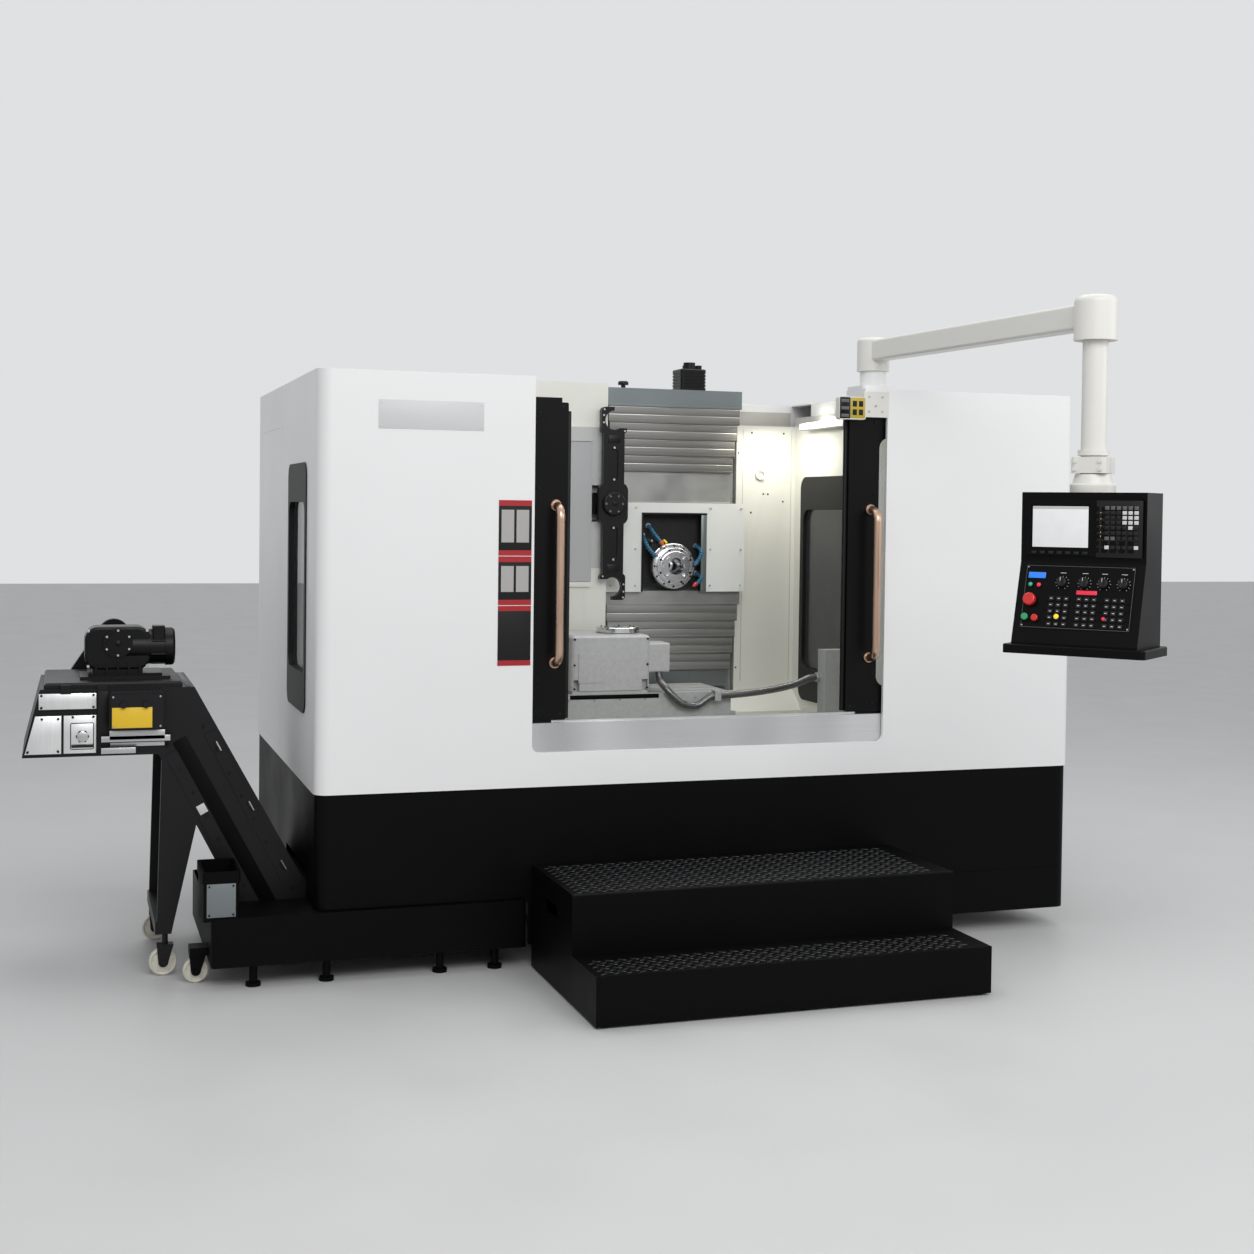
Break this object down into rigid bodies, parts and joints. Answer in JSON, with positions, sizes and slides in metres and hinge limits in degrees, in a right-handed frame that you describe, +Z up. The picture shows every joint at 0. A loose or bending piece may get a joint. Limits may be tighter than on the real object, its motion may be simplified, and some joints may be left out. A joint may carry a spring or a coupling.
{
  "type": "horizontal machining center",
  "caption": "Horizontal machining center with sliding doors, rotary table, twin-arm tool changer, swing-out operator pendant, steps and chip conveyor.",
  "frame": {"origin": "floor level in the middle of the four foundation bolts under the bed", "axes": "+X along the front to the right as the operator sees it, +Y from the doors into the machine, +Z up"},
  "size_m": [3.959, 3.3364, 2.33],
  "materials": {
    "m01_cast_iron": "painted grey",
    "m02_painted_metal": "satin",
    "m03_glass": "clear",
    "m04_rubber": "matt",
    "m05_painted_metal": "semi-gloss",
    "m06_brushed_steel": "brushed",
    "m07_painted_metal": "semi-gloss",
    "m08_gloss_plastic": "gloss",
    "m09_brass": "bronze, satin",
    "m10_cast_iron": "machined and painted",
    "m11_matte_plastic": "matt blue",
    "m12_brushed_steel": "ground",
    "m13_brushed_steel": "machined",
    "m14_painted_metal": "black oxide",
    "m15_painted_metal": "grey",
    "m16_painted_metal": "grey",
    "m17_cast_iron": "light grey",
    "m18_painted_metal": "light grey",
    "m19_brushed_steel": "braided",
    "m20_brushed_steel": "turned",
    "m21_painted_metal": "satin",
    "m22_matte_plastic": "matt",
    "m23_gloss_plastic": "gloss",
    "m24_gloss_plastic": "gloss",
    "m25_gloss_plastic": "gloss",
    "m26_matte_plastic": "cream",
    "m27_matte_plastic": "matt"
  },
  "bodies": {
    "base": {"bed": "m01_cast_iron", "front_fascia": "m02_painted_metal", "rear_shell": "m02_painted_metal", "side_windows": "m03_glass", "window_gaskets": "m04_rubber", "skirt": "m05_painted_metal", "sill": "m06_brushed_steel", "work_room_liner": "m02_painted_metal", "step_platform": "m07_painted_metal", "door_interlock": "m08_gloss_plastic", "column": "m01_cast_iron", "column_covers": "m06_brushed_steel", "column_motor": "m07_painted_metal", "changer_gearbox": "m01_cast_iron", "conveyor_casing": "m05_painted_metal", "conveyor_belt": "m06_brushed_steel", "gearmotor": "m07_painted_metal", "coolant_tank": "m07_painted_metal"},
    "left_leaf": {"left_door": "m07_painted_metal", "left_door_glass": "m03_glass", "left_handle": "m09_brass"},
    "right_leaf": {"right_door": "m07_painted_metal", "right_door_glass": "m03_glass", "right_handle": "m09_brass"},
    "head": {"headstock": "m10_cast_iron", "head_cover": "m02_painted_metal", "coolant_lines": "m11_matte_plastic"},
    "spindle_shaft": {"spindle": "m12_brushed_steel"},
    "changer_ram": {"changer_quill": "m13_brushed_steel"},
    "changer_swing": {"changer_arm": "m14_painted_metal"},
    "magazine": {"tool_magazine": "m15_painted_metal"},
    "shutter": {"changer_shutter": "m16_painted_metal"},
    "cross_slide": {"saddle": "m01_cast_iron"},
    "table_slide": {"table": "m17_cast_iron", "rotary_body": "m18_painted_metal", "table_hose": "m19_brushed_steel"},
    "rotary_face": {"faceplate": "m20_brushed_steel"},
    "pendant_beam": {"pendant_arm": "m02_painted_metal"},
    "pendant": {"pendant_mast": "m02_painted_metal", "pendant_case": "m21_painted_metal", "display_unit": "m22_matte_plastic"},
    "stop_mushroom": {"emergency_stop": "m23_gloss_plastic"},
    "start_key": {"start_button": "m24_gloss_plastic"},
    "stop_key": {"stop_button": "m25_gloss_plastic"},
    "belt_shaft": {"drive_shaft": "m06_brushed_steel"},
    "front_wheel": {"conveyor_wheel_front": "m26_matte_plastic"},
    "back_wheel": {"conveyor_wheel_back": "m26_matte_plastic"},
    "tank_roller": {"tank_wheel": "m26_matte_plastic"},
    "upper_cover_slide_1": {"upper_cover_1": "m06_brushed_steel"},
    "lower_cover_slide_1": {"lower_cover_1": "m06_brushed_steel"},
    "dial_1": {"knob_1": "m27_matte_plastic"},
    "upper_cover_slide_2": {"upper_cover_2": "m06_brushed_steel"},
    "lower_cover_slide_2": {"lower_cover_2": "m06_brushed_steel"},
    "dial_2": {"knob_2": "m27_matte_plastic"},
    "upper_cover_slide_3": {"upper_cover_3": "m06_brushed_steel"},
    "lower_cover_slide_3": {"lower_cover_3": "m06_brushed_steel"},
    "dial_3": {"knob_3": "m27_matte_plastic"},
    "upper_cover_slide_4": {"upper_cover_4": "m06_brushed_steel"},
    "lower_cover_slide_4": {"lower_cover_4": "m06_brushed_steel"},
    "dial_4": {"knob_4": "m27_matte_plastic"}
  },
  "joints": [
    {"name": "left_door_slide", "type": "slide", "parent": "base", "child": "left_leaf", "axis": [1, 0, 0], "range_m": [0, 0.552]},
    {"name": "right_door_slide", "type": "slide", "parent": "base", "child": "right_leaf", "axis": [-1, 0, 0], "range_m": [0, 0.533]},
    {"name": "head_z", "type": "slide", "parent": "base", "child": "head", "axis": [0, 0, 1], "range_m": [-0.18, 0.165]},
    {"name": "spindle_turn", "type": "hinge", "parent": "head", "child": "spindle_shaft", "pos_m": [0.15, 0.03, 1.408], "axis": [0, -1, 0], "continuous": true},
    {"name": "upper_cover_1_slide", "type": "slide", "parent": "base", "child": "upper_cover_slide_1", "axis": [0, 0, 1], "range_m": [-0.0365, 0.0335]},
    {"name": "upper_cover_2_slide", "type": "slide", "parent": "base", "child": "upper_cover_slide_2", "axis": [0, 0, 1], "range_m": [-0.0725, 0.0665]},
    {"name": "upper_cover_3_slide", "type": "slide", "parent": "base", "child": "upper_cover_slide_3", "axis": [0, 0, 1], "range_m": [-0.1085, 0.0995]},
    {"name": "upper_cover_4_slide", "type": "slide", "parent": "base", "child": "upper_cover_slide_4", "axis": [0, 0, 1], "range_m": [-0.1445, 0.1325]},
    {"name": "lower_cover_1_slide", "type": "slide", "parent": "base", "child": "lower_cover_slide_1", "axis": [0, 0, 1], "range_m": [-0.1445, 0.1325]},
    {"name": "lower_cover_2_slide", "type": "slide", "parent": "base", "child": "lower_cover_slide_2", "axis": [0, 0, 1], "range_m": [-0.1085, 0.0995]},
    {"name": "lower_cover_3_slide", "type": "slide", "parent": "base", "child": "lower_cover_slide_3", "axis": [0, 0, 1], "range_m": [-0.0725, 0.0665]},
    {"name": "lower_cover_4_slide", "type": "slide", "parent": "base", "child": "lower_cover_slide_4", "axis": [0, 0, 1], "range_m": [-0.0365, 0.0335]},
    {"name": "changer_pull", "type": "slide", "parent": "base", "child": "changer_ram", "axis": [0, -1, 0], "range_m": [0, 0.11]},
    {"name": "changer_swing_turn", "type": "hinge", "parent": "changer_ram", "child": "changer_swing", "pos_m": [-0.15, 0, 1.67], "axis": [0, -1, 0], "range_deg": [0, 240]},
    {"name": "magazine_turn", "type": "hinge", "parent": "base", "child": "magazine", "pos_m": [-0.71, 0.1, 1.566], "axis": [0, -1, 0], "continuous": true},
    {"name": "shutter_slide", "type": "slide", "parent": "base", "child": "shutter", "axis": [-1, 0, 0], "range_m": [0, 0.3]},
    {"name": "saddle_y", "type": "slide", "parent": "base", "child": "cross_slide", "axis": [0, 1, 0], "range_m": [-0.3, 0.035]},
    {"name": "table_x", "type": "slide", "parent": "cross_slide", "child": "table_slide", "axis": [1, 0, 0], "range_m": [-0.15, 0.3], "deforming": ["table_hose"]},
    {"name": "rotary_turn", "type": "hinge", "parent": "table_slide", "child": "rotary_face", "pos_m": [-0.18, -0.188, 1.16], "axis": [0, 0, 1], "continuous": true},
    {"name": "beam_swing", "type": "hinge", "parent": "base", "child": "pendant_beam", "pos_m": [0.645, -0.8, 2.25], "axis": [0, 0, 1], "range_deg": [-60, 60]},
    {"name": "pendant_turn", "type": "hinge", "parent": "pendant_beam", "child": "pendant", "pos_m": [0.725, -2.17, 2.25], "axis": [0, 0, 1], "range_deg": [-38, 142]},
    {"name": "emergency_stop_press", "type": "slide", "parent": "pendant", "child": "stop_mushroom", "axis": [0.7545, 0.5895, -0.2884], "range_m": [0, 0.005]},
    {"name": "start_press", "type": "slide", "parent": "pendant", "child": "start_key", "axis": [0.7545, 0.5895, -0.2884], "range_m": [0, 0.003], "stiffness_N_per_m": 600, "springref_m": -0.002},
    {"name": "stop_press", "type": "slide", "parent": "pendant", "child": "stop_key", "axis": [0.7545, 0.5895, -0.2884], "range_m": [0, 0.003], "stiffness_N_per_m": 600, "springref_m": -0.002},
    {"name": "dial_1_turn", "type": "hinge", "parent": "pendant", "child": "dial_1", "pos_m": [0.60897, -2.19086, 1.435], "axis": [0.7545, 0.5895, -0.2884], "range_deg": [-150, 150]},
    {"name": "dial_2_turn", "type": "hinge", "parent": "pendant", "child": "dial_2", "pos_m": [0.65206, -2.24602, 1.435], "axis": [0.7545, 0.5895, -0.2884], "range_deg": [-150, 150]},
    {"name": "dial_3_turn", "type": "hinge", "parent": "pendant", "child": "dial_3", "pos_m": [0.689, -2.2933, 1.435], "axis": [0.7545, 0.5895, -0.2884], "range_deg": [-150, 150]},
    {"name": "dial_4_turn", "type": "hinge", "parent": "pendant", "child": "dial_4", "pos_m": [0.72656, -2.34137, 1.435], "axis": [0.7545, 0.5895, -0.2884], "range_deg": [-150, 150]},
    {"name": "belt_shaft_turn", "type": "hinge", "parent": "base", "child": "belt_shaft", "pos_m": [-2.312, -0.38, 0.892], "axis": [0, 1, 0], "continuous": true},
    {"name": "front_wheel_turn", "type": "hinge", "parent": "base", "child": "front_wheel", "pos_m": [-1.986, -0.638, 0.048], "axis": [0, 1, 0], "continuous": true},
    {"name": "back_wheel_turn", "type": "hinge", "parent": "base", "child": "back_wheel", "pos_m": [-1.986, -0.122, 0.048], "axis": [0, 1, 0], "continuous": true},
    {"name": "tank_wheel_turn", "type": "hinge", "parent": "base", "child": "tank_roller", "pos_m": [-1.885, -0.764, 0.043], "axis": [0, 1, 0], "continuous": true}
  ],
  "couplings": [
    {"joint": "upper_cover_1_slide", "follows": "head_z", "ratio": 0.2},
    {"joint": "upper_cover_2_slide", "follows": "head_z", "ratio": 0.4},
    {"joint": "upper_cover_3_slide", "follows": "head_z", "ratio": 0.6},
    {"joint": "upper_cover_4_slide", "follows": "head_z", "ratio": 0.8},
    {"joint": "lower_cover_1_slide", "follows": "head_z", "ratio": 0.8},
    {"joint": "lower_cover_2_slide", "follows": "head_z", "ratio": 0.6},
    {"joint": "lower_cover_3_slide", "follows": "head_z", "ratio": 0.4},
    {"joint": "lower_cover_4_slide", "follows": "head_z", "ratio": 0.2}
  ]
}
